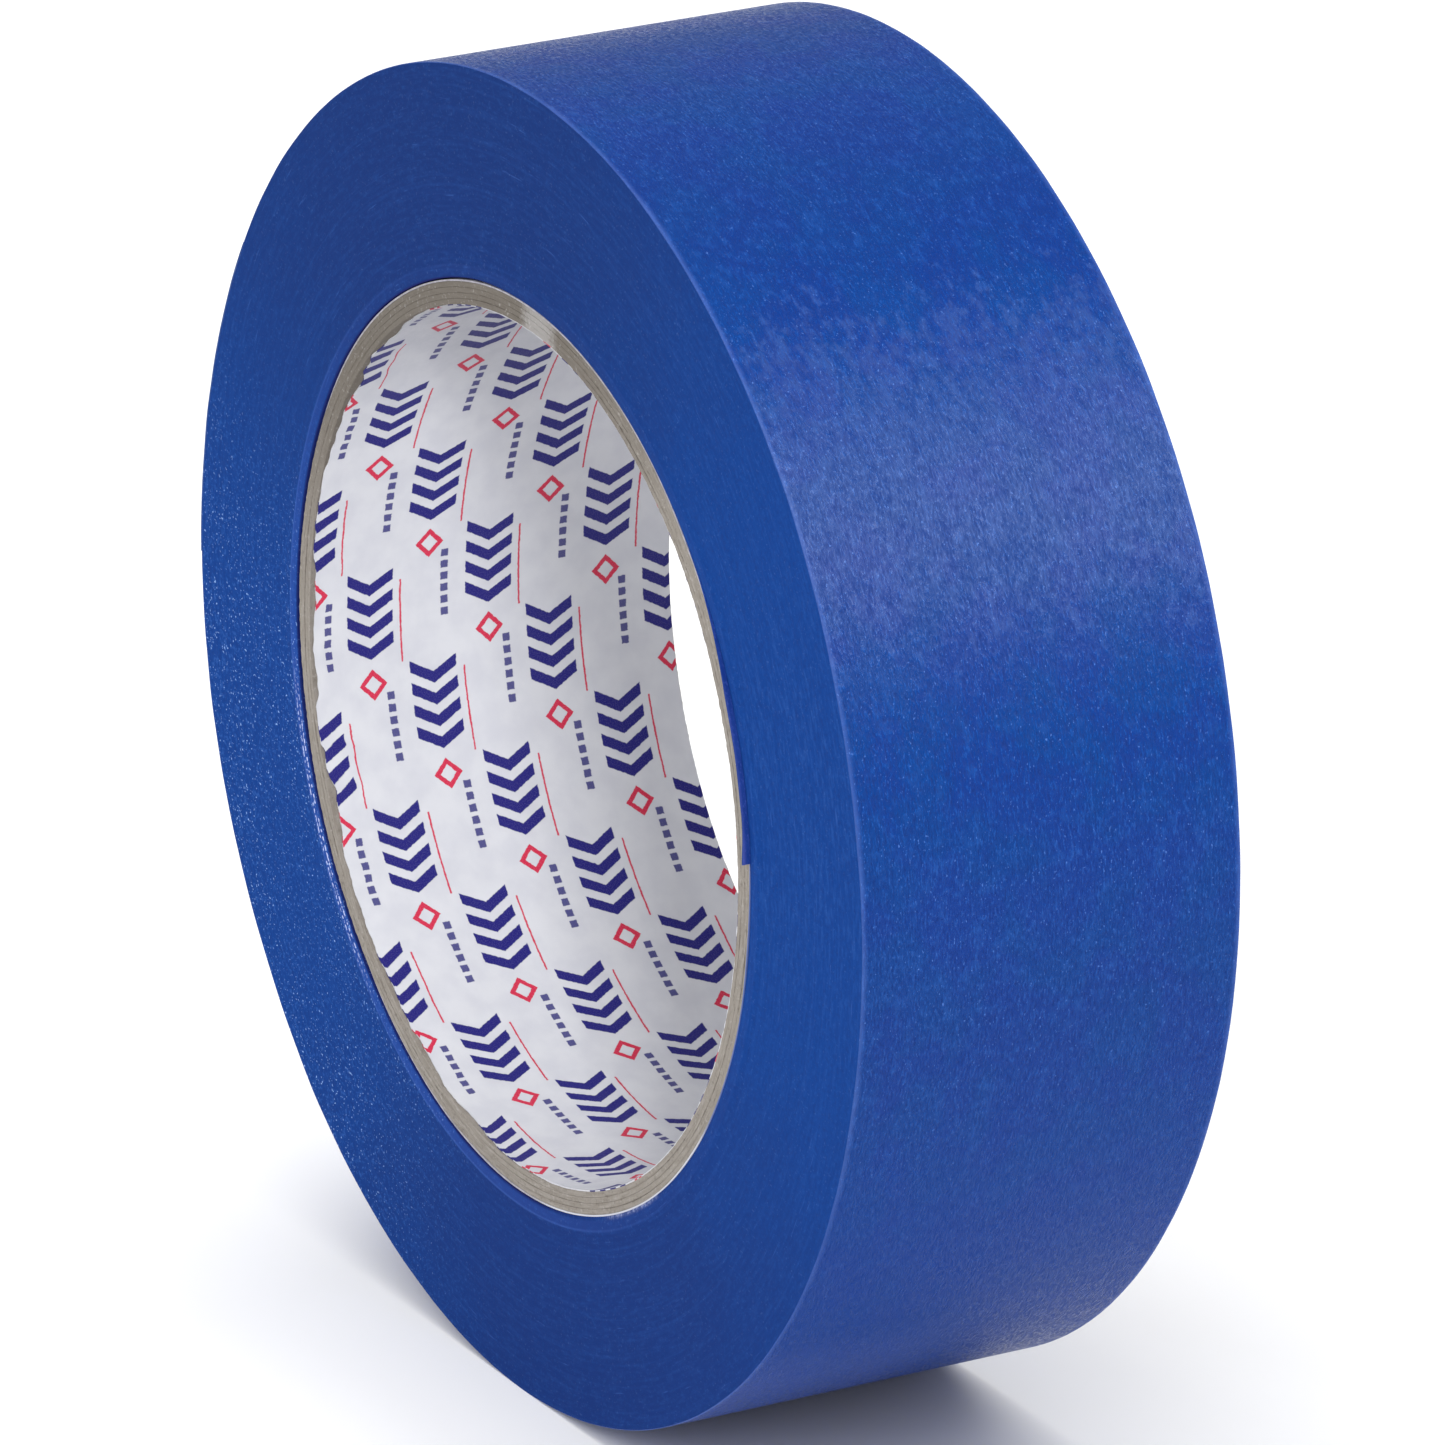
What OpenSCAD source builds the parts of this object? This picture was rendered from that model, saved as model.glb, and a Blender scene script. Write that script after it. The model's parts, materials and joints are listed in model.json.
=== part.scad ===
// A roll of blue crepe-paper masking tape on a laminated paper core.
// Millimetres. The bore runs along Y and the roll stands on its rim, +Z up. The origin is the
// centre of the bore. Angles are taken round the bore from +X towards +Z.

/* [Tape] */
// Width of the strip, which is also the width of the roll
tape_w = 36; // [12:1:72]
// Outer diameter of the full roll
roll_d = 118; // [100:1:160]
// Thickness of the strip with its adhesive
tape_t = 0.12; // [0.10:0.01:0.20]

/* [Core] */
// Diameter of the bore
bore_d = 76.2; // [70:0.1:80]
// Thickness of the printed paper that lines the bore
liner_t = 0.15; // [0.10:0.01:0.30]
// Thickness of one chipboard ply
ply_t = 0.5; // [0.3:0.05:0.8]
// Thickness of the white paper round the outside of the core
wrap_t = 0.15; // [0.10:0.01:0.30]

/* [Free end] */
// Angle at which the strip ends
end_angle = 180; // [130:5:230]
// Angle that one bending length of the free end covers
bend_angle = 8; // [4:1:12]
// Air under the free end, so that it can lift without rubbing
lift_gap = 0.02; // [0.01:0.01:0.04]

/* [Start of the strip] */
// Angle at which the strip starts on the core
start_angle = 4; // [0:1:90]
// How far the corner of the skewed start stands out of the side of the roll
start_proud = 0.75; // [0.1:0.05:1.5]
// Angle over which the skewed edge runs back into the side
start_sweep = 38; // [10:1:60]

/* [Hidden] */
$fn = 180;

ply_count = 4;
bend_count = 4;
bore_r = bore_d / 2;
board_r = bore_r + liner_t;
wrap_r = board_r + ply_count * ply_t;
core_r = wrap_r + wrap_t;
first_r = core_r + tape_t;
roll_r = roll_d / 2;
end_span = bend_count * bend_angle;

// The outline of the wound strip is two half circles, whose centres lie a quarter of a thickness
// either side of the bore axis, so that it gains one thickness in a turn and ends in a step.
outline_shift = tape_t / 4;
late_r = roll_r - outline_shift;
early_r = roll_r - 3 * outline_shift;
cut_over = 1;

// Stands a shape that was drawn flat in X and Y up on its rim, centred across the width.
module stood_up(width = tape_w) {
    rotate([90, 0, 0])
        translate([0, 0, -width / 2])
            linear_extrude(height = width)
                children();
}

module ring(inner_r, outer_r) {
    difference() {
        circle(r = outer_r);
        circle(r = inner_r);
    }
}

// A slice from one angle to another, less than a half turn, that reaches past a given radius.
module slice(from, to, reach) {
    far = reach / cos((to - from) / 2);
    polygon([
        [0, 0],
        far * [cos(from), sin(from)],
        far * [cos((from + to) / 2), sin((from + to) / 2)],
        far * [cos(to), sin(to)]
    ]);
}

// The half of the roll that was wound first, above the X axis before it is turned to end_angle.
module early_half() {
    intersection() {
        translate([-outline_shift, 0]) circle(r = early_r);
        translate([-roll_d, 0]) square([2 * roll_d, roll_d]);
    }
}

// The half that was wound last, whose end stands one thickness proud of the early half.
module late_half() {
    intersection() {
        translate([outline_shift, 0]) circle(r = late_r);
        translate([-roll_d, -roll_d]) square([2 * roll_d, roll_d]);
    }
}

// One length of the free end, as a sector of the last turn about the late half's centre.
module end_sector(from, to, inner_r, outer_r) {
    translate([outline_shift, 0])
        intersection() {
            ring(inner_r, outer_r);
            slice(from, to, outer_r + cut_over);
        }
}

// The outline of the skewed first length, seen from the middle of the roll: distance across the
// roll against height, from its square-cut start to where its edges have run back into the sides.
module skewed_length() {
    run = first_r * sin(start_sweep);
    polygon([
        [-tape_w / 2 - start_proud, 0],
        [tape_w / 2 - start_proud, 0],
        [tape_w / 2, run],
        [-tape_w / 2, run]
    ]);
}

// The space of the first length, from the square cut at angle 0.
module start_sector() {
    intersection() {
        ring(core_r, first_r);
        slice(0, start_sweep, first_r + cut_over);
    }
}

module core_liner() {
    color("white") stood_up() ring(bore_r, board_r);
}

module core_ply(number) {
    inner_r = board_r + (number - 1) * ply_t;
    color("rosybrown") stood_up() ring(inner_r, inner_r + ply_t);
}

module core_wrap() {
    color("whitesmoke") stood_up() ring(wrap_r, core_r);
}

module tape_start() {
    color("mediumblue")
        rotate([0, -start_angle, 0])
            intersection() {
                stood_up(tape_w + 2 * start_proud) start_sector();
                rotate([90, 0, 90])
                    linear_extrude(height = roll_r)
                        skewed_length();
            }
}

module wound_tape() {
    color("royalblue")
        rotate([0, -end_angle, 0])
            stood_up()
                difference() {
                    union() {
                        early_half();
                        late_half();
                    }
                    circle(r = core_r);
                    rotate(start_angle - end_angle) start_sector();
                    end_sector(-end_span, 0, late_r - tape_t, late_r + cut_over);
                }
}

module tape_end(number) {
    from = -end_span + (number - 1) * bend_angle;
    color("cornflowerblue")
        rotate([0, -end_angle, 0])
            stood_up()
                end_sector(from, from + bend_angle, late_r - tape_t + lift_gap, late_r);
}

core_liner();
core_ply(1);  // core_ply_1
core_ply(2);  // core_ply_2
core_ply(3);  // core_ply_3
core_ply(4);  // core_ply_4
core_wrap();
tape_start();
wound_tape();
tape_end(1);  // tape_end_1
tape_end(2);  // tape_end_2
tape_end(3);  // tape_end_3
tape_end(4);  // tape_end_4
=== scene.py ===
"""A roll of blue crepe masking tape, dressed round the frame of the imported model.

Lengths are metres, in the frame's own axes: the bore runs along Y and the roll stands on its rim.
Angles are degrees round the bore, from +X towards +Z. The front is the side at low Y.
"""
import json
import math

import bpy
import numpy as np
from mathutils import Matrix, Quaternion, Vector, noise


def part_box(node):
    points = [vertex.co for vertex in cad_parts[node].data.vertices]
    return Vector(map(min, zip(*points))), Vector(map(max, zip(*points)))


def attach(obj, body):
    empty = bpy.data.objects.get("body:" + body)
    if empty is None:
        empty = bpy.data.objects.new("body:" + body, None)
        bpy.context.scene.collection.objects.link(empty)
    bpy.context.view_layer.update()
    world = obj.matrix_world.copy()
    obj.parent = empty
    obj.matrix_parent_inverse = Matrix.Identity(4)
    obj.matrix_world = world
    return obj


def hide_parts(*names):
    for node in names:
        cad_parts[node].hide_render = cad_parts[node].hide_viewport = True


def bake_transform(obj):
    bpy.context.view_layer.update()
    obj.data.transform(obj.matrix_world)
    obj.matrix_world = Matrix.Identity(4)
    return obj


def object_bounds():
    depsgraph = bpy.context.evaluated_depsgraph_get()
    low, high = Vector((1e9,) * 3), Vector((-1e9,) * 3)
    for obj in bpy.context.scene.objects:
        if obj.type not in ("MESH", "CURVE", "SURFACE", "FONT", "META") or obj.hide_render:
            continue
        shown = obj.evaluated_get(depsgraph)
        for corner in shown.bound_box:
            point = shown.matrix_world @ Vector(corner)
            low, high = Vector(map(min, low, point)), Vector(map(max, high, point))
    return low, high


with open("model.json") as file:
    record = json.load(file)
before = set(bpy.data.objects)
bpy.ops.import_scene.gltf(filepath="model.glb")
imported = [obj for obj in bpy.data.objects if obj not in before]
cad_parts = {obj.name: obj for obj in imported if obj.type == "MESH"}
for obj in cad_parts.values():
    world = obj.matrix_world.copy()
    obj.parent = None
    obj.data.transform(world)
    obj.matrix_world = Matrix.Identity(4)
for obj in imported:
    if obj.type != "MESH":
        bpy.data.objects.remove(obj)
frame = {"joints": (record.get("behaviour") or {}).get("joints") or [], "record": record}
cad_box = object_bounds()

MM = 0.001


# ---------------------------------------------------------------- sizes from the frame

def outer_radius(node):
    """The outer radius of a ring that is centred on the bore."""
    low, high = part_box(node)
    return (high.x - low.x) / 2


def angle_of(point):
    """The angle round the bore of a point."""
    return math.degrees(math.atan2(point[2], point[0]))


PLIES = ["core_ply_1", "core_ply_2", "core_ply_3", "core_ply_4"]
TAPE_ENDS = ["tape_end_1", "tape_end_2", "tape_end_3", "tape_end_4"]
END_BODIES = ["end_1", "end_2", "end_3", "end_4"]
MOUNTS = {mount["name"]: mount for mount in frame["record"]["mounts"]}

HALF_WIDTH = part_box("core_wrap")[1].y
BORE_R = MOUNTS["core_bore"]["dims"]["r_mm"] * MM
BOARD_R = outer_radius("core_liner")
PLY_R = [outer_radius(ply) for ply in PLIES]
PLY_T = PLY_R[0] - BOARD_R
CORE_R = outer_radius("core_wrap")

# The strip's end, at the left, is the outermost point of the roll. Its start stands out in front.
ROLL_R = -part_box("tape_end_4")[0].x
START_PROUD = -HALF_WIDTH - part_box("tape_start")[0].y

# The strip is one thickness in the roll, and thinner at its free end by the air under that end.
TAPE_T = 0.12 * MM
STRIP_T = 0.10 * MM

# The free end bends at the hinges and ends one bend past the last of them. The skewed first
# length starts and sweeps back into the side where the CAD model has it.
PEEL_ANGLES = [angle_of(joint["pos_m"]) for joint in frame["joints"]]
BEND = PEEL_ANGLES[1] - PEEL_ANGLES[0]
END_ANGLE = PEEL_ANGLES[-1] + BEND
START_ANGLE = 4.0
START_SWEEP = 38.0


# ---------------------------------------------------------------- geometry helpers

UV_MAP = "Unrolled"
SHARP_ANGLE = 50.0


def smooth(low, high, value):
    """0 below low, 1 above high, and a smooth step between them."""
    t = np.clip((value - low) / (high - low), 0.0, 1.0)
    return t * t * (3.0 - 2.0 * t)


def bump_at(centre, half, value):
    """1 at the centre, falling smoothly to 0 at half on either side."""
    return 1.0 - smooth(0.0, half, abs(value - centre))


def near_side(y, reach):
    """1 at either side of the roll, falling smoothly to 0 at the reach inside it."""
    return 1.0 - smooth(0.0, reach, HALF_WIDTH - abs(y))


def outward(amount, y):
    """The amount as a shift along y, away from the middle of the roll."""
    return amount if y > 0 else -amount


def round_noise(angle, seed, scale):
    """Smooth noise from about -1 to 1 round the roll, with no seam. The scale is waves per radian,
    and each seed gives other waves."""
    a = math.radians(angle)
    place = Vector((math.cos(a) * scale, math.sin(a) * scale, seed * 7.31))
    return noise.noise(place) * 2.0


def polar(angle, radius, y):
    """The point at an angle round the bore, a distance from its axis and a place along it."""
    a = math.radians(angle)
    return (radius * math.cos(a), y, radius * math.sin(a))


def even_angles(start, end, step):
    """Angles from start to end, with both of them, about one step apart."""
    count = max(1, round((end - start) / step))
    return [start + (end - start) * i / count for i in range(count + 1)]


def all_round(step):
    """Angles all round the bore, for a closed sweep."""
    return even_angles(0.0, 360.0, step)[:-1]


def straight(a, b, steps):
    """Points in equal steps from a to b, with both of them."""
    return [(a[0] + (b[0] - a[0]) * i / steps, a[1] + (b[1] - a[1]) * i / steps)
            for i in range(steps + 1)]


def rounded_outline(inner, outer, half, edge, across, along, wall):
    """The outline of a ring's section, as (radius, y) points: the front face outwards, the outside to
    the back, the back face inwards and the inside to the front. edge is the size of its four
    rounded corners, and across, along and wall are the steps on a face, on the outside and inside.
    The outside has a row of points near each corner, which keeps the corner's shading narrow."""
    turn = edge * (1.0 - math.sqrt(0.5))
    guard = 5.0 * edge
    points = straight((inner + edge, -half), (outer - edge, -half), across)
    points += [(outer - turn, -half + turn), (outer, -half + edge)]
    points += straight((outer, -half + guard), (outer, half - guard), along)
    points += [(outer, half - edge), (outer - turn, half - turn)]
    points += straight((outer - edge, half), (inner + edge, half), across)
    points.append((inner + turn, half - turn))
    points += straight((inner, half - edge), (inner, -half + edge), wall)
    points.append((inner + turn, -half + turn))
    return points


def sheet_outline(inner, outer, half, steps):
    """The outline of a thin sheet's section: its inside from front to back, then its outside from
    back to front."""
    ys = [-half + 2.0 * half * i / steps for i in range(steps + 1)]
    return [(inner, y) for y in ys] + [(outer, y) for y in reversed(ys)]


def sheet_materials(steps):
    """Which material each face of a sheet_outline takes: 2 inside, 0 outside and 1 on its two cut
    edges and its ends."""
    def material_of(k):
        if k < steps:
            return 2
        return 0 if steps < k < 2 * steps + 1 else 1

    return material_of


def new_piece(name, points, faces, corners, numbers, materials):
    """A piece made of faces, each with its corners' UV places and the number of its material."""
    mesh = bpy.data.meshes.new(name)
    mesh.from_pydata(points, [], faces)
    uv = mesh.uv_layers.new(name=UV_MAP)
    uv.data.foreach_set("uv", np.array(corners, np.float32).ravel())
    mesh.polygons.foreach_set("material_index", np.array(numbers, np.int32))
    for material in materials:
        mesh.materials.append(material)
    mesh.shade_smooth()
    mesh.set_sharp_from_angle(angle=math.radians(SHARP_ANGLE))
    mesh.validate()
    piece = bpy.data.objects.new(name, mesh)
    bpy.context.scene.collection.objects.link(piece)
    return piece


def swept(name, angles, outline, place, closed, materials, material_of=None):
    """A piece whose outline is swept round the bore. place(angle, radius, y) gives the radius and y
    that an outline point has at an angle. A closed sweep joins its last angle to its first, and an
    open one is capped: its outline is a sheet_outline. Its UV map is in millimetres, arc and width."""
    count, size = len(angles), len(outline)
    points = [polar(angle, *place(angle, radius, y)) for angle in angles for radius, y in outline]
    faces, corners, numbers = [], [], []
    for i in range(count if closed else count - 1):
        j = (i + 1) % count
        turn = 360.0 if j < i else 0.0
        for k in range(size):
            n = (k + 1) % size
            faces.append((i * size + k, i * size + n, j * size + n, j * size + k))
            arc_i = math.radians(angles[i]) * outline[k][0] / MM
            arc_j = math.radians(angles[j] + turn) * outline[k][0] / MM
            y_k, y_n = outline[k][1] / MM, outline[n][1] / MM
            corners.append(((arc_i, y_k), (arc_i, y_n), (arc_j, y_n), (arc_j, y_k)))
            numbers.append(material_of(k) if material_of else 0)
    caps = [] if closed else [(0, True), (count - 1, False)]
    for i, flip in caps:
        first, last = i * size, i * size + size - 1
        for k in range(size // 2 - 1):
            face = (first + k, first + k + 1, last - 1 - k, last - k)
            faces.append(tuple(reversed(face)) if flip else face)
            corners.append(((0.0, 0.0),) * 4)
            numbers.append(material_of(size // 2 - 1) if material_of else 0)
    return new_piece(name, points, faces, corners, numbers, materials)


# ---------------------------------------------------------------- node helpers

class Nodes:
    """Builds a material's nodes. The methods for sums, vectors and textures return an output to pass
    on. Noise scales are waves per metre, or per millimetre on the unrolled print."""

    def __init__(self, name):
        self.material = bpy.data.materials.new(name)
        self.material.use_nodes = True
        self.tree = self.material.node_tree
        self.tree.nodes.clear()
        self.output = self.tree.nodes.new("ShaderNodeOutputMaterial")
        self.position = self.add("ShaderNodeTexCoord").outputs["Object"]

    def add(self, kind, inputs=None, **settings):
        """A new node, with its settings and with its inputs set or linked."""
        node = self.tree.nodes.new(kind)
        for key, value in settings.items():
            setattr(node, key, value)
        for key, value in (inputs or {}).items():
            self.put(node.inputs[key], value)
        return node

    def put(self, socket, value):
        """Links an input to another node's output, or sets it to a constant."""
        if isinstance(value, bpy.types.NodeSocket):
            self.tree.links.new(value, socket)
        else:
            socket.default_value = value

    def math(self, operation, *values):
        return self.add("ShaderNodeMath", dict(enumerate(values)), operation=operation).outputs[0]

    def plus(self, a, b):
        return self.math("ADD", a, b)

    def minus(self, a, b):
        return self.math("SUBTRACT", a, b)

    def times(self, a, *others):
        for other in others:
            a = self.math("MULTIPLY", a, other)
        return a

    def away(self, value, centre):
        """How far the value is from a centre, on either side."""
        return self.math("ABSOLUTE", self.minus(value, centre))

    def swing(self, value, amount):
        """A noise's value, from 0 to 1, as a shift to either side that adds up to the amount."""
        return self.times(self.minus(value, 0.5), amount)

    def axes(self, vector):
        return self.add("ShaderNodeSeparateXYZ", {0: vector}).outputs

    def join(self, x, y, z):
        return self.add("ShaderNodeCombineXYZ", {0: x, 1: y, 2: z}).outputs[0]

    def moved(self, operation, vector, other):
        return self.add("ShaderNodeVectorMath", {0: vector, 1: other}, operation=operation).outputs[0]

    def squeezed(self, along):
        """The position with its y multiplied, so that noise is shorter along the roll's width."""
        return self.moved("MULTIPLY", self.position, (1.0, along, 1.0))

    def radius(self):
        """The distance from the axis of the bore."""
        axes = self.axes(self.position)
        return self.math("SQRT", self.plus(self.times(axes["X"], axes["X"]),
                                           self.times(axes["Z"], axes["Z"])))

    def turned(self, stretch):
        """The position with the radius, stretched, in place of y, for noise on the side's rings."""
        axes = self.axes(self.position)
        return self.join(axes["X"], self.times(self.radius(), stretch), axes["Z"])

    def towards(self, angle):
        """The cosine of the angle round the bore between a point and a direction."""
        axes = self.axes(self.position)
        a = math.radians(angle)
        dot = self.plus(self.times(axes["X"], math.cos(a)), self.times(axes["Z"], math.sin(a)))
        return self.math("DIVIDE", dot, self.radius())

    def noise(self, vector, scale, detail=2.0, roughness=0.5):
        node = self.add("ShaderNodeTexNoise", {
            "Vector": vector, "Scale": scale, "Detail": detail, "Roughness": roughness})
        return node.outputs["Fac"]

    def ramp(self, value, low, high, to_low=0.0, to_high=1.0):
        """The value's range from low to high, as a smooth step from to_low to to_high."""
        node = self.add("ShaderNodeMapRange", {
            "Value": value, "From Min": low, "From Max": high, "To Min": to_low, "To Max": to_high},
            interpolation_type="SMOOTHSTEP")
        return node.outputs["Result"]

    def inside(self, value, low, high, soft=0.05):
        """1 where the value is between low and high, with edges that are soft by that much."""
        return self.times(self.ramp(value, low - soft, low + soft),
                          self.ramp(value, high + soft, high - soft))

    def mix(self, amount, colour_a, colour_b, blend="MIX"):
        node = self.add("ShaderNodeMix", {0: amount, 6: colour_a, 7: colour_b},
                        data_type="RGBA", blend_type=blend)
        return node.outputs[2]

    def bump(self, height, strength, distance, normal=None):
        node = self.add("ShaderNodeBump", {"Height": height, "Strength": strength, "Distance": distance})
        if normal is not None:
            self.put(node.inputs["Normal"], normal)
        return node.outputs["Normal"]

    def finish(self, colour, roughness, normal, **constants):
        """The finished material. A constant's name is the shader input's, with _ for each space."""
        shader = self.add("ShaderNodeBsdfPrincipled", {
            "Base Color": colour, "Roughness": roughness, "Normal": normal})
        for key, value in constants.items():
            shader.inputs[key.replace("_", " ")].default_value = value
        self.tree.links.new(shader.outputs[0], self.output.inputs["Surface"])
        return self.material


def rgb(red, green, blue):
    """A linear colour from the 0 to 255 values that it has on a screen."""
    def linear(value):
        value /= 255.0
        return value / 12.92 if value <= 0.04045 else ((value + 0.055) / 1.055) ** 2.4

    return (linear(red), linear(green), linear(blue), 1.0)


# ---------------------------------------------------------------- materials

# Where the marks, and the painted light and shade, lie on the roll, as angles round the bore.
PAINTED_SHEEN_ANGLE = 39.0
PAINTED_SHADE_ANGLE = 63.0
STAND_ANGLE = 298.0
LOWEST_ANGLE = 270.0
TOP_ANGLE = 110.0
SHEEN_ANGLE = 15.0
FUZZ_ANGLE = 12.0
SCUFF_ANGLE = 208.0
LOW_LEFT_ANGLE = 215.0
GAP_ANGLE = 188.0
FRINGE_ANGLE = 300.0
SMUDGE_ANGLE = 84.0
PALE_WRAP_ANGLE = 300.0
BLUE_WRAP_ANGLE = 344.0


def crepe_backing():
    """The outside of the strip: crepe paper with fine flecks that run along it, and soft patches. On
    the roll it has a painted sheen in one band of the rim, painted shade above that, and painted light
    at the rim's foot: bluer towards its lowest point and paler beside the place where it stands."""
    n = Nodes("crepe_backing")
    fleck = n.noise(n.squeezed(3.2), 1700.0, 3.0, 0.62)
    spark = n.noise(n.squeezed(1.5), 3600.0, 1.0)
    wisp = n.noise(n.squeezed(1.5), 620.0, 4.0, 0.66)
    patch = n.noise(n.position, 150.0, 3.0, 0.55)
    colour = n.mix(n.ramp(patch, 0.4, 0.6), rgb(1, 51, 119), rgb(6, 47, 120))
    colour = n.mix(n.ramp(wisp, 0.50, 0.68, 0.0, 0.40), colour, rgb(22, 70, 142))
    colour = n.mix(n.ramp(wisp, 0.46, 0.32, 0.0, 0.35), colour, rgb(0, 42, 110))
    colour = n.mix(n.ramp(fleck, 0.53, 0.68, 0.0, 0.45), colour, rgb(34, 84, 162))
    colour = n.mix(n.ramp(fleck, 0.47, 0.32, 0.0, 0.60), colour, rgb(0, 34, 98))
    colour = n.mix(n.ramp(spark, 0.66, 0.80, 0.0, 0.60), colour, rgb(80, 120, 194))

    across = n.axes(n.position)["Y"]
    uneven = n.plus(n.swing(patch, 0.05), n.swing(wisp, 0.13))
    # Painted shade: a darker, mottled band of the rim just above the painted sheen.
    painted_shade = n.ramp(n.plus(n.towards(PAINTED_SHADE_ANGLE), uneven), 0.970, 0.994)
    painted_shade = n.times(painted_shade, n.ramp(wisp, 0.40, 0.60, 0.50, 0.15))
    colour = n.mix(painted_shade, colour, rgb(0, 40, 106))
    # Painted sheen: whitish light added in a mottled band of the rim, on top of the key light's
    # reflection.
    painted_sheen = n.ramp(n.plus(n.towards(PAINTED_SHEEN_ANGLE), uneven), 0.966, 0.994)
    painted_sheen = n.times(painted_sheen, n.ramp(wisp, 0.38, 0.62, 0.40, 0.95))
    colour = n.mix(painted_sheen, colour, (0.0120, 0.0130, 0.0135, 1.0), "ADD")
    # Painted light: the rim lighter and bluer towards its lowest point, near the floor.
    colour = n.mix(n.ramp(n.towards(LOWEST_ANGLE), 0.05, 0.80, 0.0, 0.75), colour, rgb(0, 58, 143))
    # Painted light: whitish light added on the front of the rim beside the place where the roll stands.
    painted_foot_light = n.times(n.ramp(n.towards(STAND_ANGLE), 0.93, 0.985),
                       n.ramp(across, 6.0 * MM, -4.0 * MM))
    colour = n.mix(painted_foot_light, colour, (0.022, 0.026, 0.050, 1.0), "ADD")

    wander = n.noise(n.position, 260.0, 3.0, 0.6)
    edge = n.plus(n.math("ABSOLUTE", across), n.swing(wander, 0.5 * MM))
    worn = n.ramp(edge, HALF_WIDTH - 0.6 * MM, HALF_WIDTH + 0.1 * MM, 0.0, 0.35)
    colour = n.mix(worn, colour, rgb(84, 114, 188))

    roughness = n.ramp(fleck, 0.38, 0.62, 0.50, 0.20)
    height = n.plus(n.times(fleck, 0.75), n.times(wisp, 0.25))
    normal = n.bump(height, 0.9, 0.10 * MM)
    normal = n.bump(wisp, 0.4, 0.10 * MM, normal)
    return n.finish(colour, roughness, normal, Specular_IOR_Level=0.13)


def start_backing():
    """The backing of the first length, which never saw the light: a more violet blue, with a paler
    edge where it stands out of the side."""
    n = Nodes("start_backing")
    fleck = n.noise(n.squeezed(2.0), 2700.0, 3.0, 0.62)
    cloud = n.noise(n.position, 420.0, 3.0, 0.6)
    colour = n.mix(n.ramp(cloud, 0.35, 0.65), rgb(32, 66, 152), rgb(42, 76, 164))
    colour = n.mix(n.ramp(fleck, 0.52, 0.7, 0.0, 0.55), colour, rgb(78, 104, 196))
    edge = n.math("ABSOLUTE", n.axes(n.position)["Y"])
    proud = n.ramp(edge, HALF_WIDTH + 0.25 * MM, HALF_WIDTH + 0.70 * MM, 0.0, 0.6)
    colour = n.mix(proud, colour, rgb(104, 116, 200))
    normal = n.bump(fleck, 0.6, 0.05 * MM)
    roughness = n.ramp(fleck, 0.36, 0.64, 0.5, 0.65)
    return n.finish(colour, roughness, normal, Specular_IOR_Level=0.12)


def packed_turns(n, grain):
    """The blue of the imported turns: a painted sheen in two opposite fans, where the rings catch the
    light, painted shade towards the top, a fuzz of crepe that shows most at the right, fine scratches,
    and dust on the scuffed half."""
    turns = n.noise(n.turned(90.0), 26.0, 4.0, 0.6)
    scratch = n.noise(n.turned(12.0), 300.0, 2.0, 0.6)
    weave = n.noise(n.turned(4.0), 620.0, 3.0, 0.6)
    cloud = n.noise(n.position, 120.0, 3.0, 0.55)
    speck = n.noise(n.position, 3900.0, 1.0, 0.5)

    # Painted sheen: the side lighter and bluer in two opposite fans, where the rings of the turns catch
    # the light.
    painted_sheen_fan = n.towards(SHEEN_ANGLE)
    painted_sheen_fan = n.plus(n.times(painted_sheen_fan, painted_sheen_fan), n.swing(cloud, 0.5))
    colour = n.mix(n.ramp(painted_sheen_fan, 0.0, 0.9), rgb(21, 50, 114), rgb(13, 59, 132))
    # Painted shade: the side darker towards its top.
    colour = n.mix(n.ramp(n.towards(TOP_ANGLE), 0.2, 1.0, 0.0, 0.40), colour, rgb(17, 44, 98))
    colour = n.mix(n.ramp(turns, 0.5, 0.7, 0.0, 0.15), colour, rgb(36, 78, 152))
    colour = n.mix(n.ramp(turns, 0.5, 0.3, 0.0, 0.15), colour, rgb(20, 50, 112))
    fuzzy = n.ramp(n.towards(FUZZ_ANGLE), 0.90, 1.0, 0.12, 0.32)
    colour = n.mix(n.times(n.ramp(weave, 0.47, 0.70), fuzzy), colour, rgb(42, 86, 160))
    colour = n.mix(n.ramp(weave, 0.48, 0.30, 0.0, 0.15), colour, rgb(12, 44, 108))
    colour = n.mix(n.ramp(grain, 0.48, 0.34, 0.0, 0.30), colour, rgb(12, 42, 106))
    dusty = n.ramp(n.towards(SCUFF_ANGLE), 0.50, 0.98, 0.22, 1.0)
    lit_grain = n.times(n.ramp(grain, 0.52, 0.68, 0.0, 0.50), dusty)
    colour = n.mix(lit_grain, colour, rgb(56, 100, 174))
    colour = n.mix(n.ramp(scratch, 0.66, 0.78, 0.0, 0.35), colour, rgb(60, 98, 172))
    specked = n.ramp(n.towards(SCUFF_ANGLE), 0.60, 0.98, 0.06, 0.95)
    colour = n.mix(n.times(n.ramp(speck, 0.65, 0.76), specked), colour, rgb(140, 174, 228))
    return colour, turns, scratch


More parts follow.
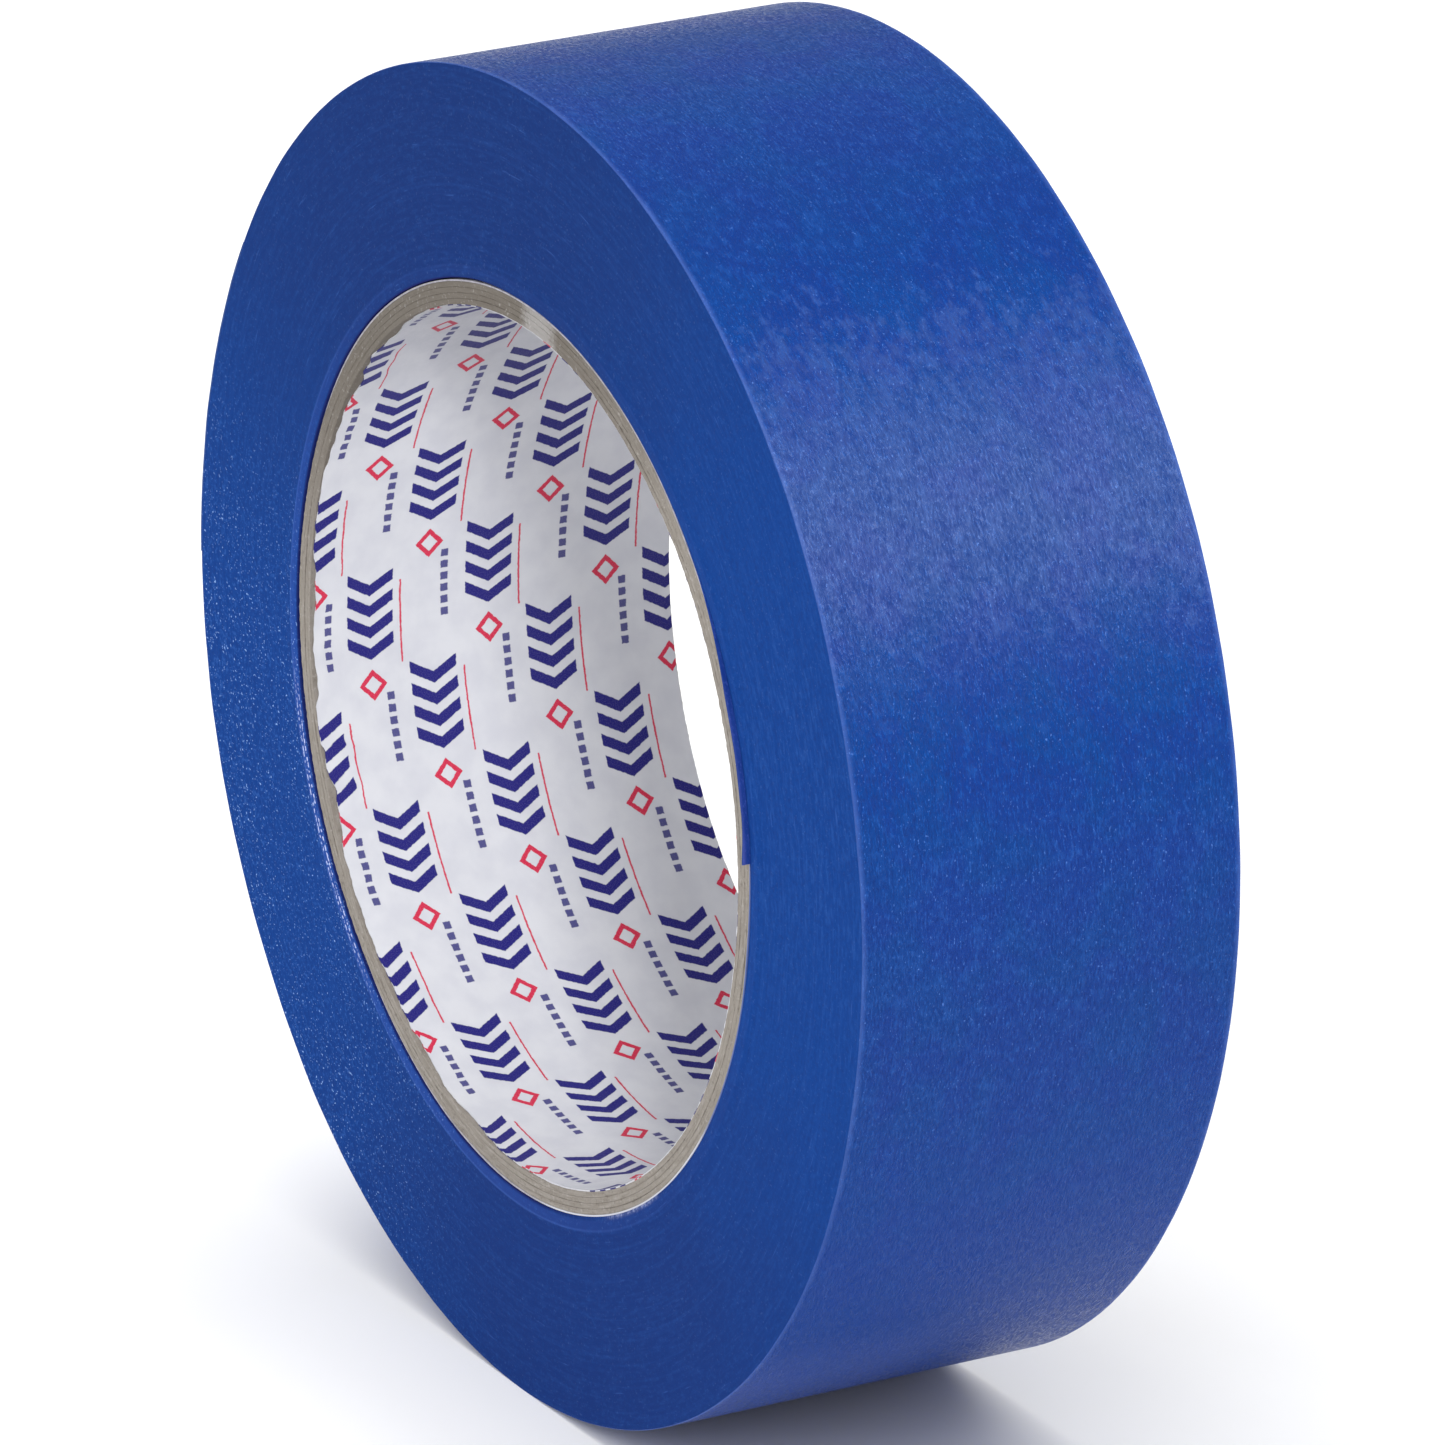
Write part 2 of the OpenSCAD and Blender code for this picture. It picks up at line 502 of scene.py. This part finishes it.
def core_edge_scuffs_and_painted_shade(n, colour, grain):
    """The marks of the first turns, laid over a colour: a paler band that ends in a ring, rows of
    bright scuff dashes, painted shade in the slit beside the core and a little torn fringe."""
    above_core = n.minus(n.radius(), CORE_R)
    first_turns = n.times(n.ramp(above_core, 0.25 * MM, 0.45 * MM),
                          n.ramp(above_core, 1.45 * MM, 1.20 * MM))
    low_left = n.ramp(n.towards(LOW_LEFT_ANGLE), -0.2, 0.9, 0.12, 1.0)
    colour = n.mix(n.times(first_turns, 0.25, low_left), colour, rgb(62, 92, 180))
    ring = n.ramp(n.away(above_core, 1.25 * MM), 0.16 * MM, 0.03 * MM, 0.0, 0.22)
    colour = n.mix(n.times(ring, low_left), colour, rgb(76, 112, 190))

    dash = n.noise(n.position, 2600.0, 1.0, 0.5)
    row = n.math("FRACT", n.math("DIVIDE", above_core, 0.42 * MM))
    scuffed = n.times(first_turns, n.ramp(n.towards(SCUFF_ANGLE), 0.92, 0.99))
    scuffed = n.times(scuffed, n.ramp(n.away(row, 0.5), 0.30, 0.12), n.ramp(dash, 0.46, 0.58))
    colour = n.mix(scuffed, colour, rgb(180, 190, 230))

    # Painted shade in the slit between the core and the first turns, over the roll's left half.
    slit = n.times(n.ramp(above_core, 0.34 * MM, 0.16 * MM, 0.0, 0.75),
                   n.ramp(n.towards(GAP_ANGLE), -0.20, 0.15))
    colour = n.mix(slit, colour, rgb(26, 24, 84))
    fringe = n.times(n.ramp(above_core, 0.50 * MM, 0.10 * MM),
                     n.ramp(n.towards(FRINGE_ANGLE), 0.988, 0.998),
                     n.ramp(grain, 0.45, 0.62, 0.10, 0.45))
    return n.mix(fringe, colour, rgb(176, 184, 222))


def wound_side():
    """The side of the roll: the cut edges of the turns, packed tight."""
    n = Nodes("wound_side")
    grain = n.noise(n.position, 2400.0, 3.0, 0.65)
    colour, turns, scratch = packed_turns(n, grain)
    colour = core_edge_scuffs_and_painted_shade(n, colour, grain)
    normal = n.bump(turns, 0.3, 0.06 * MM)
    normal = n.bump(n.plus(scratch, grain), 0.3, 0.03 * MM, normal)
    return n.finish(colour, n.ramp(grain, 0.3, 0.7, 0.78, 0.92), normal, Specular_IOR_Level=0.06)


def adhesive():
    """The inside of the strip: the backing seen through a coat of clear, tacky adhesive."""
    n = Nodes("adhesive")
    coat = n.noise(n.squeezed(3.0), 700.0, 3.0, 0.6)
    colour = n.mix(n.ramp(coat, 0.3, 0.7), rgb(96, 132, 190), rgb(122, 154, 202))
    roughness = n.ramp(coat, 0.3, 0.7, 0.20, 0.38)
    normal = n.bump(coat, 0.4, 0.04 * MM)
    return n.finish(colour, roughness, normal, Specular_IOR_Level=0.5,
                    Coat_Weight=0.25, Coat_Roughness=0.2)


def chipboard():
    """Grey-brown recycled board: fibres that lie along its plies, and a dark line between plies. It
    has painted shade towards the top of the core, and carries a pale smudge there."""
    n = Nodes("chipboard")
    axes = n.axes(n.position)
    radius = n.radius()
    depth = n.plus(n.times(radius, 9.0), n.times(axes["Y"], 3.0))
    fibre = n.noise(n.join(axes["X"], depth, axes["Z"]), 420.0, 4.0, 0.65)
    grain = n.noise(n.position, 2600.0, 3.0, 0.6)
    cloud = n.noise(n.position, 150.0, 2.0, 0.5)
    colour = n.mix(n.ramp(fibre, 0.32, 0.68), rgb(132, 125, 117), rgb(152, 146, 139))
    colour = n.mix(n.ramp(cloud, 0.35, 0.7, 0.0, 0.5), colour, rgb(142, 136, 128))
    # Painted shade: the board darker towards the top of the core.
    colour = n.mix(n.ramp(n.towards(TOP_ANGLE), 0.3, 0.95, 0.0, 0.75), colour, rgb(94, 88, 81))
    colour = n.mix(n.ramp(grain, 0.45, 0.28, 0.0, 0.40), colour, rgb(94, 86, 78))
    colour = n.mix(n.ramp(grain, 0.58, 0.74, 0.0, 0.45), colour, rgb(178, 174, 170))
    ply = n.plus(n.math("DIVIDE", n.minus(radius, BOARD_R), PLY_T), n.swing(cloud, 0.5))
    off_line = n.away(ply, n.math("ROUND", ply))
    colour = n.mix(n.ramp(off_line, 0.16, 0.02, 0.0, 0.12), colour, rgb(92, 82, 74))
    smudge = n.plus(n.towards(SMUDGE_ANGLE), n.swing(grain, 0.004))
    colour = n.mix(n.ramp(smudge, 0.9960, 0.9998, 0.0, 0.5), colour, rgb(180, 178, 178))
    height = n.plus(n.times(fibre, 0.6), n.times(grain, 0.4))
    normal = n.bump(height, 0.6, 0.08 * MM)
    return n.finish(colour, n.ramp(grain, 0.3, 0.7, 0.82, 0.95), normal, Specular_IOR_Level=0.2)


def white_paper():
    """The smooth paper round the outside of the core: grey, bluer along the right, and paler at lower
    right."""
    n = Nodes("white_paper")
    grain = n.noise(n.position, 1800.0, 3.0, 0.6)
    colour = n.mix(n.ramp(grain, 0.3, 0.7), rgb(140, 138, 146), rgb(172, 170, 180))
    # Paler towards the lower right, and bluer along the right beside the tape.
    colour = n.mix(n.ramp(n.towards(PALE_WRAP_ANGLE), 0.88, 0.94), colour, rgb(198, 200, 211))
    colour = n.mix(n.ramp(n.towards(BLUE_WRAP_ANGLE), 0.92, 0.965), colour, rgb(88, 106, 160))
    normal = n.bump(grain, 0.4, 0.04 * MM)
    return n.finish(colour, n.ramp(grain, 0.3, 0.7, 0.6, 0.75), normal, Specular_IOR_Level=0.35)


# The print, in millimetres on the unrolled liner: the two steps from one repeat to the next, and
# the place of a first repeat.
PRINT_STEPS = ((8.9, 6.0), (12.2, -5.8))
PRINT_START_ARC = 118.2
PRINT_START_Y = -0.35
NAVY = rgb(24, 20, 104)
RED = rgb(186, 30, 64)


def repeat(n, arc, across, offset):
    """Coordinates from the centre of the nearest repeat of the print, in millimetres."""
    (ax, ay), (bx, by) = PRINT_STEPS
    area = ax * by - ay * bx
    u = n.minus(arc, offset[0])
    v = n.minus(across, offset[1])
    s = n.math("DIVIDE", n.minus(n.times(u, by), n.times(v, bx)), area)
    t = n.math("DIVIDE", n.minus(n.times(v, ax), n.times(u, ay)), area)
    s = n.minus(s, n.math("ROUND", s))
    t = n.minus(t, n.math("ROUND", t))
    x = n.plus(n.times(s, ax), n.times(t, bx))
    y = n.plus(n.times(s, ay), n.times(t, by))
    return x, y


def chevrons(n, x, y):
    """Four stacked chevrons, 4.6 mm wide."""
    fold = n.plus(x, n.times(n.math("ABSOLUTE", y), 0.55))
    stripe = n.math("FRACT", n.math("DIVIDE", n.plus(fold, 4.0), 1.95))
    return n.times(n.inside(stripe, 0.08, 0.62, 0.03), n.inside(fold, -4.0, 3.7),
                   n.inside(y, -2.3, 2.3))


def diamond_and_rule(n, x, y):
    """A small diamond outline after the chevrons, and a thin rule beside them."""
    span = n.plus(n.away(x, 5.3), n.math("ABSOLUTE", y))
    rule = n.times(n.inside(x, -3.9, 3.7), n.inside(y, 2.95, 3.12))
    return n.math("MAXIMUM", n.inside(span, 0.80, 1.40), rule)


def dashes(n, x, y):
    """A row of six short dashes."""
    dash = n.math("FRACT", n.math("DIVIDE", x, 1.1))
    return n.times(n.inside(dash, 0.14, 0.78, 0.04), n.inside(x, -3.3, 3.3),
                   n.inside(y, -0.36, 0.36))


def printed_paper():
    """Coated white paper, printed all over with chevrons, a small diamond and rows of dashes. It has
    painted shade towards the top of the bore."""
    n = Nodes("printed_paper")
    unrolled = n.add("ShaderNodeUVMap", uv_map=UV_MAP).outputs[0]
    tremble = n.add("ShaderNodeTexNoise", {"Vector": unrolled, "Scale": 3.0, "Detail": 2.0})
    tremble = n.moved("MULTIPLY", tremble.outputs["Color"], (0.16, 0.16, 0.0))
    tremble = n.moved("ADD", tremble, (-0.08, -0.08, 0.0))
    place = n.axes(n.moved("ADD", unrolled, tremble))
    arc, across = place["X"], place["Y"]
    x, y = repeat(n, arc, across, (PRINT_START_ARC, PRINT_START_Y))
    dash_x, dash_y = repeat(n, arc, across, (PRINT_START_ARC + 0.4, PRINT_START_Y - 4.4))

    screen = n.noise(unrolled, 9.0, 1.0)
    ink = n.math("MAXIMUM", chevrons(n, x, y), n.times(dashes(n, dash_x, dash_y), 0.9))
    ink = n.times(ink, n.ramp(screen, 0.25, 0.6, 0.94, 1.0))
    red = n.times(diamond_and_rule(n, x, y), n.ramp(screen, 0.25, 0.6, 0.9, 1.0))

    mottle = n.noise(unrolled, 0.35, 3.0, 0.5)
    paper = n.mix(n.ramp(mottle, 0.3, 0.7), rgb(186, 187, 194), rgb(194, 195, 200))
    colour = n.mix(ink, paper, NAVY)
    colour = n.mix(red, colour, RED)
    # Painted shade: the liner darker towards the top of the bore.
    colour = n.mix(n.ramp(n.towards(TOP_ANGLE), 0.70, 1.0, 0.0, 0.28), colour, rgb(90, 90, 96))
    grain = n.noise(unrolled, 2.4, 3.0, 0.6)
    normal = n.bump(grain, 0.25, 0.03 * MM)
    return n.finish(colour, n.ramp(grain, 0.3, 0.7, 0.45, 0.60), normal, Specular_IOR_Level=0.18)


def pale_floor():
    """A plain, pale, matt studio floor."""
    n = Nodes("pale_floor")
    grain = n.noise(n.position, 4.0, 2.0)
    colour = n.mix(n.ramp(grain, 0.3, 0.7), (0.92, 0.92, 0.92, 1.0), (0.94, 0.94, 0.94, 1.0))
    return n.finish(colour, 0.8, n.bump(grain, 0.02, 1.0 * MM), Specular_IOR_Level=0.1)


# ---------------------------------------------------------------- the wound tape

# The outline of the wound tape's section: the steps along its sides, rim and wall, the rows of faces
# at each of its outer corners, and the size of its corners.
SIDE_STEPS, RIM_STEPS, WALL_STEPS = 54, 26, 5
CORNER_ROWS = 3
LAST_TURN_EDGE = 0.07 * MM

# The angle between sections, and the angles past a sudden step at which it has begun and ended.
SECTION_ANGLE = 2.0 / 3.0
STEP_BEGUN, STEP_ENDED = 0.001, 0.04

# How far in from the side the waves of the turns and the slit beside the core reach, and the slit's
# width.
WAVE_DEPTH = 0.5 * MM
SLIT_DEPTH = 1.3 * MM
SLIT_WIDTH = 0.13 * MM

# The height of the ripple in the last turn, and the share of the way out past which it starts.
RIPPLE = 0.012 * MM
RIPPLE_SHARE = 0.99

# The steps across a loose length of strip, and the angles between sections of its start and end.
SHEET_STEPS = 24
START_SECTION = 0.5
END_SECTION = 0.4

# The skewed start: the share of its width over which each edge is shifted, and how far the back edge
# is sunk in, as a share of how far the front one stands out.
LIP_SHARE = 0.35
BACK_LIP = 0.9


def roll_radius(angle):
    """The outer radius of the wound strip, which grows by one thickness in a turn up to its end."""
    return ROLL_R - TAPE_T * (END_ANGLE - angle) / 360.0


def edge_wander(angle, front):
    """How far the side stands out at an angle, as the turns never line up quite."""
    seed = 3.0 if front else 11.0
    slow, quick = round_noise(angle, seed, 2.2), round_noise(angle, seed + 1.0, 14.0)
    return 0.05 * MM * slow + 0.02 * MM * quick


def core_gap(angle):
    """The width of the slit between the core and the first turns, open over the roll's left half."""
    away = abs((angle - GAP_ANGLE + 180.0) % 360.0 - 180.0)
    opened = 1.0 - smooth(86.0, 102.0, away)
    return SLIT_WIDTH * opened * (0.85 + 0.3 * round_noise(angle, 21.0, 3.0))


def ring_relief(radius, angle, front):
    """How far a turn at this radius stands out of the side or lies below it."""
    seed = 31.0 if front else 47.0
    level = (radius - CORE_R) / MM
    a = math.radians(angle)
    steps = noise.noise(Vector((seed, level * 1.9, 0.35 * math.cos(a)))) * 0.022 * MM
    slow = noise.noise(Vector((0.7 * math.cos(a), 0.7 * math.sin(a), seed + level * 0.16))) * 0.05 * MM
    crown = 0.10 * MM * bump_at(1.1, 1.3, level)
    return steps + slow + crown


def in_start(angle):
    """Whether an angle is in the sector that the skewed first length takes up."""
    return START_ANGLE <= angle % 360.0 <= START_ANGLE + START_SWEEP


def turn_angles():
    """The angles of the wound tape's sections: even, with more of them at each sudden step."""
    angles = even_angles(END_ANGLE - 360.0, END_ANGLE, SECTION_ANGLE)[:-1]
    angles += [PEEL_ANGLES[0] + STEP_BEGUN, PEEL_ANGLES[0] + STEP_ENDED]
    angles += [START_ANGLE - STEP_ENDED, START_ANGLE + START_SWEEP + STEP_ENDED]
    return sorted(set(round(a, 5) for a in angles))


def wound_tape(backing, side):
    """All the turns that stay on the roll, as one piece. The rim takes the backing's material."""
    outline = rounded_outline(CORE_R, ROLL_R, HALF_WIDTH, LAST_TURN_EDGE,
                              SIDE_STEPS, RIM_STEPS, WALL_STEPS)
    thick = ROLL_R - CORE_R
    rim_end = SIDE_STEPS + RIM_STEPS + 2 * CORNER_ROWS

    def place(angle, radius, y):
        front = y < 0
        share = min(1.0, max(0.0, (radius - CORE_R) / thick))
        rim = roll_radius(angle) - ROLL_R
        rim -= TAPE_T * smooth(PEEL_ANGLES[0], PEEL_ANGLES[0] + STEP_ENDED, angle)
        inner = core_gap(angle) * near_side(y, SLIT_DEPTH)
        if in_start(angle):
            inner = max(inner, TAPE_T)
        rippled = RIPPLE if share > RIPPLE_SHARE else 0.0
        ripple = rippled * noise.noise(Vector(polar(angle, 60.0, y / MM)))
        out = edge_wander(angle, front) * share + ring_relief(radius, angle, front)
        new_radius = radius + rim * share + inner * (1.0 - share) + ripple
        return new_radius, y + outward(out * near_side(y, WAVE_DEPTH), y)

    def material_of(k):
        return 0 if SIDE_STEPS <= k < rim_end else 1

    piece = swept("wound_turns", turn_angles(), outline, place, True, [backing, side], material_of)
    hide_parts("wound_tape")
    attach(piece, "roll")


def start_lip(angle):
    """How far the edge of the skewed first length stands out of the front at an angle."""
    past = angle - START_ANGLE
    drop = 0.30 * smooth(0.0, 6.0, past) + 0.70 * smooth(16.0, 36.0, past)
    return START_PROUD * (1.0 - drop) * (1.0 + 0.08 * round_noise(angle, 5.0, 9.0))


def tape_start(backing, side, glue):
    """The skewed first length of the strip, which stands out in front and is sunk in at the back."""
    outline = sheet_outline(CORE_R, CORE_R + TAPE_T, HALF_WIDTH, SHEET_STEPS)
    angles = even_angles(START_ANGLE, START_ANGLE + START_SWEEP, START_SECTION)

    def place(angle, radius, y):
        across = (y + HALF_WIDTH) / (2.0 * HALF_WIDTH)
        front_part = (1.0 - smooth(0.0, LIP_SHARE, across)) * start_lip(angle)
        back_part = smooth(1.0 - LIP_SHARE, 1.0, across) * start_lip(angle) * BACK_LIP
        return radius, y - front_part - back_part

    piece = swept("strip_start", angles, outline, place, False, [backing, side, glue],
                  sheet_materials(SHEET_STEPS))
    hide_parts("tape_start")
    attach(piece, "roll")


def strip_end(number, start, end, backing, side, glue):
    """One length of the free end, from one angle to another."""
    outline = sheet_outline(ROLL_R - STRIP_T, ROLL_R, HALF_WIDTH, SHEET_STEPS)
    angles = even_angles(start, end, END_SECTION)

    def place(angle, radius, y):
        rim = roll_radius(angle) - ROLL_R
        return radius + rim, y + outward(edge_wander(angle, y < 0) * near_side(y, WAVE_DEPTH), y)

    piece = swept(f"strip_end_{number}", angles, outline, place, False, [backing, side, glue],
                  sheet_materials(SHEET_STEPS))
    return piece


def free_end(backing, side, glue):
    """The free end in lengths round the hinges, and a tip that rides on the last body."""
    middle = BEND / 2.0
    for i, hinge in enumerate(PEEL_ANGLES):
        start = hinge if i == 0 else hinge - middle
        end = hinge + middle
        piece = strip_end(i + 1, start, end, backing, side, glue)
        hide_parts(TAPE_ENDS[i])
        first = polar(start, roll_radius(start), 0.0)
        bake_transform(piece)
    tip = strip_end(len(PEEL_ANGLES) + 1, END_ANGLE - middle, END_ANGLE, backing, side, glue)
    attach(tip, END_BODIES[-1])


# ---------------------------------------------------------------- the core

# The angle between sections, and for a ply and the wrap the size of the corners and the steps along
# the section's ends, outside and inside.
CORE_STEP = 0.5
PLY_EDGE = 0.04 * MM
PLY_STEPS = (5, 2, 6)
WRAP_EDGE = 0.03 * MM
WRAP_STEPS = (2, 2, 2)


def board_plies(board):
    """The plies of chipboard, each with its own ragged cut end."""
    inner = BOARD_R
    for number, (ply, outer) in enumerate(zip(PLIES, PLY_R)):
        outline = rounded_outline(inner, outer, HALF_WIDTH, PLY_EDGE, *PLY_STEPS)

        def place(angle, radius, y, number=number):
            seed = number * 5.0 + (1.0 if y < 0 else 3.0)
            rough = noise.noise(Vector(polar(angle, 60.0, radius / MM * 2.6 + seed)) * 1.6)
            level = 0.05 * MM * round_noise(angle, seed, 3.0)
            out = (rough * 0.06 * MM + level - 0.04 * MM) * near_side(y, 0.6 * MM)
            return radius, y + outward(out, y)

        piece = swept(f"board_ply_{number + 1}", all_round(CORE_STEP), outline, place, True, [board])
        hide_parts(ply)
        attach(piece, "roll")
        inner = outer


def outer_wrap(paper):
    """The paper round the core. It stands level with the board on the right and is sunk on the left."""
    outline = rounded_outline(PLY_R[-1], CORE_R, HALF_WIDTH, WRAP_EDGE, *WRAP_STEPS)

    def place(angle, radius, y):
        front = y < 0
        sunk = 0.30 * MM * bump_at(190.0, 90.0, angle) if front else 0.0
        level = 0.04 * MM + 0.05 * MM * round_noise(angle, 61.0 if front else 71.0, 4.0) - sunk
        return radius, y + outward(level * near_side(y, 1.0 * MM), y)

    piece = swept("outer_wrap", all_round(CORE_STEP), outline, place, True, [paper])
    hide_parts("core_wrap")
    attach(piece, "roll")


# The liner's seam, out of the camera's view: the angle where the sheet starts, the angle by which
# its end laps over its start, how far the end stands in there, and where it comes in, from the start.
SEAM_ANGLE = 30.0
SEAM_LAP = 2.5
LAP_T = 0.03 * MM
LAP_RAMP = (355.0, 361.0)
LINER_STEPS = 36

# How far the liner's back edge lies inside the core, and how far from its front the tear shifts it.
BACK_RECESS = 0.15 * MM
TEAR_REACH = 5.0 * MM


def torn_back(angle):
    """How far the liner's front edge is torn back from the end of the core, most on the left."""
    here = angle % 360.0
    left = smooth(95.0, 115.0, here) * (1.0 - smooth(255.0, 285.0, here))
    slow = 0.30 + 0.40 * bump_at(135.0, 36.0, here) + 0.45 * bump_at(193.0, 24.0, here)
    teeth = 0.55 + 0.7 * round_noise(angle, 81.0, 7.0) + 0.28 * round_noise(angle, 83.0, 24.0)
    fray = 0.03 * round_noise(angle, 85.0, 80.0)
    return (0.10 + fray + left * slow * max(0.0, teeth)) * MM


def liner(paper):
    """The printed liner, a sheet whose end laps over its start. Its back edge is a little recessed."""
    outline = sheet_outline(BORE_R + LAP_T, BOARD_R - LAP_T / 3.0, HALF_WIDTH, LINER_STEPS)
    angles = even_angles(SEAM_ANGLE, SEAM_ANGLE + 360.0 + SEAM_LAP, CORE_STEP)

    def place(angle, radius, y):
        over = smooth(*LAP_RAMP, angle - SEAM_ANGLE)
        front_share = 1.0 - smooth(0.0, TEAR_REACH, y + HALF_WIDTH)
        recess = BACK_RECESS if y > 0.99 * HALF_WIDTH else 0.0
        return radius - LAP_T * over, y + torn_back(angle) * front_share - recess

    piece = swept("printed_liner", angles, outline, place, False, [paper])
    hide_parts("core_liner")
    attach(piece, "roll")
    return piece


# ---------------------------------------------------------------- the studio

FLOOR_REACH = 6.0
WORLD_STRENGTH = 0.42


def floor_plane():
    """The floor, level with the foot of the roll."""
    mesh = bpy.data.meshes.new("floor")
    z = cad_box[0].z
    signs = ((-1, -1), (1, -1), (1, 1), (-1, 1))
    corners = [(x * FLOOR_REACH, y * FLOOR_REACH, z) for x, y in signs]
    mesh.from_pydata(corners, [], [(0, 1, 2, 3)])
    mesh.materials.append(pale_floor())
    floor = bpy.data.objects.new("floor", mesh)
    bpy.context.scene.collection.objects.link(floor)
    return floor


def soft_light(name, direction, distance, size, power, turn=0.0):
    """A soft rectangular light that points at the roll from a direction, turned about its own axis."""
    light = bpy.data.lights.new(name, "AREA")
    light.shape = "RECTANGLE"
    light.size, light.size_y = size
    light.energy = power
    lamp = bpy.data.objects.new(name, light)
    away = Vector(direction).normalized()
    lamp.location = away * distance
    lamp.rotation_mode = "QUATERNION"
    spin = Quaternion((0.0, 0.0, 1.0), math.radians(turn))
    lamp.rotation_quaternion = (-away).to_track_quat("-Z", "Y") @ spin
    bpy.context.scene.collection.objects.link(lamp)
    return lamp


def shining_on(lamp, *receivers):
    """Limits a lamp to some objects, and returns the collection that names them."""
    group = bpy.data.collections.new(lamp.name + "_receivers")
    for receiver in receivers:
        group.objects.link(receiver)
    lamp.light_linking.receiver_collection = group
    return group


def shaded_from(lamp, *shaded):
    """Keeps a lamp's light off some objects, as a flag on a stand does."""
    for member in shining_on(lamp, *shaded).collection_objects:
        member.light_linking.link_state = "EXCLUDE"


def studio(printed_liner):
    """The floor and the lights. The key light is flagged off the floor and out of the bore, which
    has a small light of its own, and a wash of light lies on the floor alone."""
    floor = floor_plane()

    world = bpy.data.worlds.new("studio")
    world.use_nodes = True
    background = world.node_tree.nodes["Background"]
    background.inputs["Color"].default_value = (1.0, 1.0, 1.0, 1.0)
    background.inputs["Strength"].default_value = WORLD_STRENGTH
    bpy.context.scene.world = world

    key = soft_light("key", direction=(0.62, 0.385, 0.655), distance=1.1,
                     size=(0.44, 1.0), power=13.5, turn=30.0)
    shaded_from(key, floor, printed_liner)
    soft_light("front", direction=(0.35, -0.80, 0.50), distance=1.4, size=(1.6, 1.2), power=12.2)
    soft_light("overhead", direction=(-0.3, -0.2, 0.93), distance=1.5, size=(1.2, 1.2), power=8.5)
    bore = soft_light("bore", direction=(0.84, -0.30, 0.456), distance=1.4,
                      size=(0.24, 0.24), power=13.5)
    shining_on(bore, printed_liner)
    wash = soft_light("floor_wash", direction=(0.0, 0.3, 0.95), distance=2.2,
                      size=(3.0, 3.0), power=40.0)
    shining_on(wash, floor)


def camera():
    """The view of the roll from the right of its front, a little above, with a long lens."""
    azimuth, elevation = math.radians(60.77), math.radians(19.93)
    distance, right_shift, up_shift = 1.1047, -1.72 * MM, 0.72 * MM
    data = bpy.data.cameras.new("camera")
    data.sensor_width = 36.0
    data.lens = 321.4
    data.clip_start, data.clip_end = 0.1, 20.0
    viewer = bpy.data.objects.new("camera", data)
    back = Vector((math.sin(azimuth) * math.cos(elevation),
                   -math.cos(azimuth) * math.cos(elevation), math.sin(elevation)))
    right = Vector((math.cos(azimuth), math.sin(azimuth), 0.0))
    up = back.cross(right)
    viewer.location = back * distance - right * right_shift - up * up_shift
    viewer.rotation_mode = "QUATERNION"
    viewer.rotation_quaternion = (-back).to_track_quat("-Z", "Y")
    bpy.context.scene.collection.objects.link(viewer)
    bpy.context.scene.camera = viewer


def build():
    """Makes the camera, every piece of the roll, and the studio round it."""
    backing, side, glue = crepe_backing(), wound_side(), adhesive()
    camera()
    wound_tape(backing, side)
    tape_start(start_backing(), side, glue)
    free_end(backing, side, glue)
    board_plies(chipboard())
    outer_wrap(white_paper())
    studio(liner(printed_paper()))
    bpy.context.scene.view_settings.view_transform = "Standard"


build()
